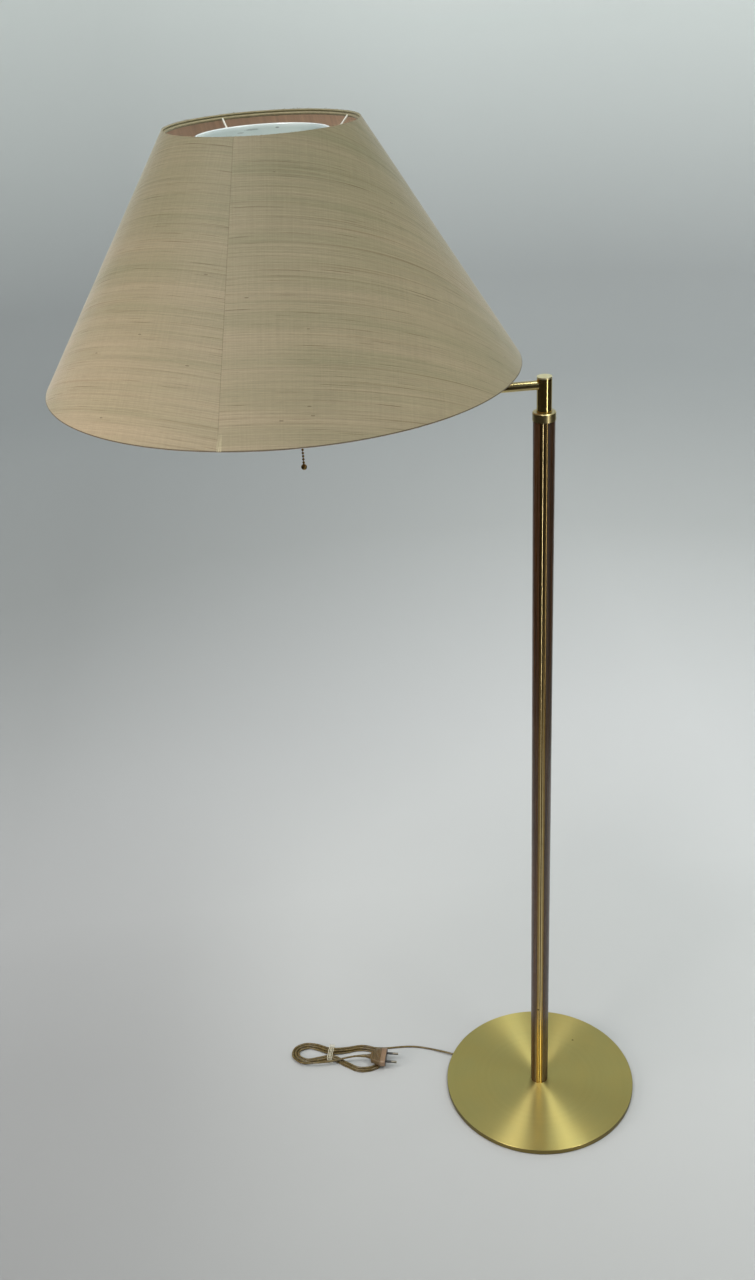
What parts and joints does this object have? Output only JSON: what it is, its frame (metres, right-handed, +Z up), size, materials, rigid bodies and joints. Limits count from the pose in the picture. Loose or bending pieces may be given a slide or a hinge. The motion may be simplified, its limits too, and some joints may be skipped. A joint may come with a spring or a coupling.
{
  "type": "bridge floor lamp",
  "caption": "Bridge floor lamp with a round brass foot, dark wooden column with brass strip, swivelling arm, conical silk shade over a white bowl, pull chain and tied cord.",
  "frame": {"origin": "centre of the foot's underside, on the floor", "axes": "+Z up along the column, the arm and shade towards -X, the pictured front towards -Y"},
  "size_m": [0.7504, 0.563, 1.516],
  "materials": {
    "satin_brass": "radially brushed satin",
    "bright_brass": "polished, lacquered",
    "dull_brass": "dark antique",
    "wood": "glossy dark varnish",
    "felt": "matt felt",
    "iron": "plain",
    "steel": "zinc plated",
    "nylon": "plain",
    "bakelite": "glossy",
    "porcelain": "glazed",
    "lamp_glass": "opal coated",
    "bowl_glass": "white opal, glossy",
    "white_wire": "white enamel",
    "silk": "wild silk with level slubs",
    "lining": "smooth cloth",
    "cord": "clear gold-brown sheath",
    "string": "cotton",
    "plug": "moulded, ribbed",
    "pin": "bright",
    "rubber": "plain"
  },
  "bodies": {
    "stand": {"base_pad": "felt", "base_weight": "iron", "base_cover": "satin_brass", "base_screws": "steel", "column_spigot": "steel", "tie_tube": "steel", "column_wood": "wood", "column_strip": "bright_brass", "strip_screw": "dull_brass", "top_washer": "steel", "top_nut": "steel", "swivel_sleeve": "nylon", "collar": "bright_brass", "column_wire": "cord", "cord_bush": "rubber", "cord_lead": "cord", "cord_hank": "cord", "hank_tie": "string", "plug_body": "plug", "pin_sleeves": "bakelite", "plug_pins": "pin"},
    "arm": {"swivel_post": "bright_brass", "post_cap": "bright_brass", "arm_tube": "bright_brass", "end_block": "bright_brass", "riser_tube": "bright_brass", "lock_nut": "bright_brass", "holder_cup": "bright_brass", "switch_body": "bakelite", "chain_guide": "bright_brass", "holder_shell": "bright_brass", "socket_core": "porcelain", "screw_shell": "bright_brass", "centre_contact": "bright_brass", "lower_ring": "bright_brass", "upper_ring": "bright_brass", "bulb_cap": "steel", "bulb_glass": "lamp_glass", "fitter_ring": "white_wire", "spider_wires": "white_wire", "top_ring": "white_wire", "bottom_ring": "white_wire", "shade_skin": "silk", "shade_lining": "lining", "bowl": "bowl_glass", "arm_wire": "cord"},
    "chain_pull": {"chain_top": "dull_brass"},
    "chain_swing": {"chain_hang": "dull_brass", "chain_ball": "dull_brass"}
  },
  "joints": [
    {"name": "arm_swivel", "type": "hinge", "parent": "stand", "child": "arm", "pos_m": [0, 0, 1.16], "axis": [0, 0, 1], "range_deg": [-170, 170]},
    {"name": "chain_slide", "type": "slide", "parent": "arm", "child": "chain_pull", "axis": [0, 0, -1], "range_m": [0, 0.008], "stiffness_N_per_m": 300, "springref_m": -0.006},
    {"name": "chain_sway", "type": "hinge", "parent": "chain_pull", "child": "chain_swing", "pos_m": [-0.302, -0.02, 1.35175], "axis": [0, 1, 0], "range_deg": [-25, 25]}
  ]
}
